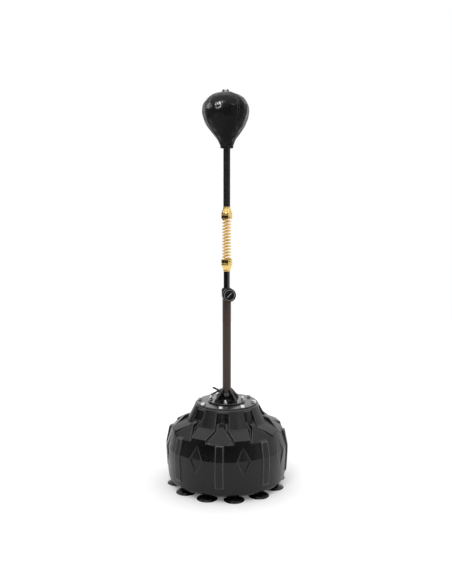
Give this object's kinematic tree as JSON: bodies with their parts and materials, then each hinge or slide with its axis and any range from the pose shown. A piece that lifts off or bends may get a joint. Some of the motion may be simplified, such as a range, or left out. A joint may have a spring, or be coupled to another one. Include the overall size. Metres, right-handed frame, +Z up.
{
  "type": "reflex ball stand",
  "caption": "Free-standing reflex punching ball on a telescopic pole with a coil spring, bolted to a round fillable base on suction cups.",
  "frame": {"origin": "on the floor, on the pole's axis, at the middle of the base's footprint", "axes": "+Z up along the pole; the user stands on the -Y side, where the clamp knob faces; +X to the right of that view"},
  "size_m": [0.5024, 0.5024, 1.5792],
  "materials": {
    "base_plastic": "satin moulded polyethylene with a faint grain",
    "cap_plastic": "satin",
    "rubber": "matt",
    "cup_rubber": "glossy soft rubber",
    "plate_coat": "gloss charcoal powder coat",
    "black_gloss_coat": "gloss black enamel",
    "zinc_steel": "bright zinc",
    "brass": "turned",
    "twill_tube": "twill-weave film under clear lacquer",
    "nylon": "matt",
    "collar_plastic": "semi-gloss",
    "knob_plastic": "semi-gloss",
    "knob_face": "satin silver",
    "gloss_tube": "gloss black",
    "gold_chrome": "polished gold plate",
    "gold_spring": "polished gold plate",
    "black_screw": "black oxide",
    "sleeve_foam": "textured grip",
    "ball_leather": "gloss synthetic leather",
    "bladder_rubber": "matt latex",
    "lace_cord": "braided cord"
  },
  "bodies": {
    "stand": {"base_shell": "base_plastic", "suction_cup_01": "cup_rubber", "suction_cup_02": "cup_rubber", "suction_cup_03": "cup_rubber", "suction_cup_04": "cup_rubber", "suction_cup_05": "cup_rubber", "suction_cup_06": "cup_rubber", "suction_cup_07": "cup_rubber", "suction_cup_08": "cup_rubber", "suction_cup_09": "cup_rubber", "suction_cup_10": "cup_rubber", "suction_cup_11": "cup_rubber", "suction_cup_12": "cup_rubber", "flange_gasket": "rubber", "flange_plate": "plate_coat", "flange_bolts": "zinc_steel", "flange_washers": "zinc_steel", "flange_inserts": "brass", "socket_plate": "black_gloss_coat", "socket_tube": "black_gloss_coat", "gusset_front": "black_gloss_coat", "gusset_right": "black_gloss_coat", "gusset_rear": "black_gloss_coat", "gusset_left": "black_gloss_coat", "socket_bolts": "zinc_steel", "socket_washers": "zinc_steel", "socket_nuts": "zinc_steel", "wing_boss": "black_gloss_coat", "lower_tube": "twill_tube", "tube_bushing": "nylon", "clamp_collar": "collar_plastic", "clamp_boss": "collar_plastic"},
    "cap_seal": {"cap_gasket": "rubber"},
    "fill_cap": {"fill_cap": "cap_plastic"},
    "wing_pad": {"wing_pad": "brass"},
    "wing_bolt": {"wing_bolt": "black_gloss_coat"},
    "clamp_pad": {"pressure_pad": "nylon"},
    "clamp_knob": {"knob_stud": "zinc_steel", "knob_body": "knob_plastic", "knob_ring": "knob_face", "knob_bridge": "knob_face"},
    "inner_pole": {"inner_tube": "gloss_tube", "guide_plug": "nylon", "lower_collar": "gold_chrome", "lower_grub_screws": "black_screw"},
    "spring": {"spring": "gold_spring"},
    "ball_pole": {"upper_collar": "gold_chrome", "upper_grub_screws": "black_screw", "upper_tube": "gloss_tube", "pole_sleeve": "sleeve_foam", "ball_spigot": "zinc_steel", "spigot_pin": "zinc_steel", "neck_ferrule": "cap_plastic", "ball_cover": "ball_leather", "ball_bladder": "bladder_rubber", "ball_valve": "rubber", "ball_lace": "lace_cord"}
  },
  "joints": [
    {"name": "height_slide", "type": "slide", "parent": "stand", "child": "inner_pole", "axis": [0, 0, 1], "range_m": [-0.065, 0.18]},
    {"name": "spring_bend_forward", "type": "hinge", "parent": "inner_pole", "child": "spring", "pos_m": [0, 0, 0.958], "axis": [1, 0, 0], "range_deg": [-40, 40], "stiffness_Nm_per_rad": 60, "deforming": ["spring"]},
    {"name": "spring_bend_sideways", "type": "hinge", "parent": "spring", "child": "ball_pole", "pos_m": [0, 0, 1.038], "axis": [0, 1, 0], "range_deg": [-40, 40], "stiffness_Nm_per_rad": 60, "deforming": ["spring"]},
    {"name": "clamp_pad_slide", "type": "slide", "parent": "stand", "child": "clamp_pad", "axis": [0.1908, -0.9816, 0], "range_m": [0, 0.003]},
    {"name": "clamp_knob_turn", "type": "hinge", "parent": "clamp_pad", "child": "clamp_knob", "pos_m": [0.00859, -0.04417, 0.779], "axis": [0.1908, -0.9816, 0], "range_deg": [0, 720]},
    {"name": "wing_pad_slide", "type": "slide", "parent": "stand", "child": "wing_pad", "axis": [-1, 0, 0], "range_m": [0, 0.003]},
    {"name": "wing_bolt_turn", "type": "hinge", "parent": "wing_pad", "child": "wing_bolt", "pos_m": [-0.035, 0, 0.38], "axis": [-1, 0, 0], "range_deg": [0, 720]},
    {"name": "cap_lift", "type": "slide", "parent": "stand", "child": "cap_seal", "axis": [0, 0, 1], "range_m": [0, 0.012]},
    {"name": "cap_turn", "type": "hinge", "parent": "cap_seal", "child": "fill_cap", "pos_m": [0.09327, 0.16553, 0.28], "axis": [0, 0, 1], "range_deg": [0, 1080]}
  ],
  "couplings": [
    {"joint": "clamp_pad_slide", "follows": "clamp_knob_turn", "m_per_rad": 0.00023873},
    {"joint": "wing_pad_slide", "follows": "wing_bolt_turn", "m_per_rad": 0.00023873},
    {"joint": "cap_lift", "follows": "cap_turn", "m_per_rad": 0.00063662}
  ]
}
